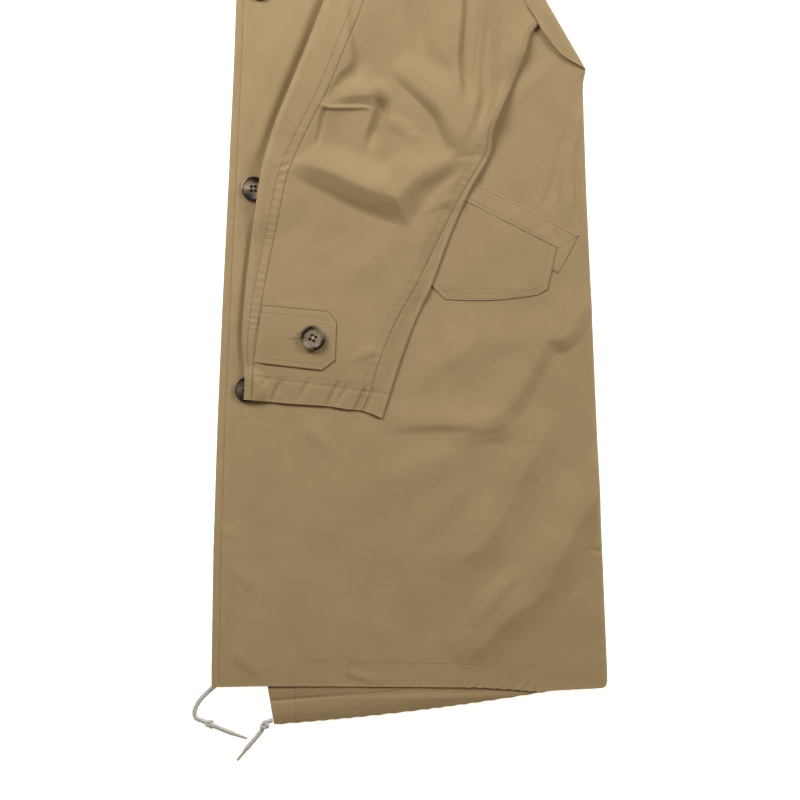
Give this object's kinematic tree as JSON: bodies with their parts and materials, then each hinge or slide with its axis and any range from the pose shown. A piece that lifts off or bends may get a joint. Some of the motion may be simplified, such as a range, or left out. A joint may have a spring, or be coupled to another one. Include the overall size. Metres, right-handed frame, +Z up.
{
  "type": "fishtail parka, lying flat, folded lengthwise",
  "caption": "Khaki cotton fishtail parka lying flat, folded in half lengthwise, sleeve turned across the front, with slanted pocket, tabbed cuff, hood and knotted drawcord ends.",
  "frame": {"origin": "on the flat underside, at the middle of the folded garment", "axes": "+Z up from the surface it lies on, +Y from the hem towards the hood, +X from the front edge towards the side seam"},
  "size_m": [0.4165, 1.3389, 0.0307],
  "materials": {
    "shell_cloth": "tightly woven khaki cotton gabardine with a faint sheen",
    "horn_button": "mottled horn, polished",
    "drawcord": "pale braided cord",
    "sewing_thread": "matt khaki sewing thread",
    "cord_tip": "clear plastic tip"
  },
  "bodies": {
    "root": {"right_half_under": "shell_cloth", "back_left": "shell_cloth", "back_left_turned": "shell_cloth", "front_left": "shell_cloth", "sleeve_upper": "shell_cloth", "sleeve_under": "shell_cloth", "cuff_tab": "shell_cloth", "pocket_welt": "shell_cloth", "pocket_flap": "shell_cloth", "pocket_band": "shell_cloth", "hood_left": "shell_cloth", "button_cuff": "horn_button", "button_front_1": "horn_button", "button_front_2": "horn_button", "button_front_3": "horn_button", "drawcord_left": "drawcord", "drawcord_right": "drawcord"}
  },
  "joints": []
}
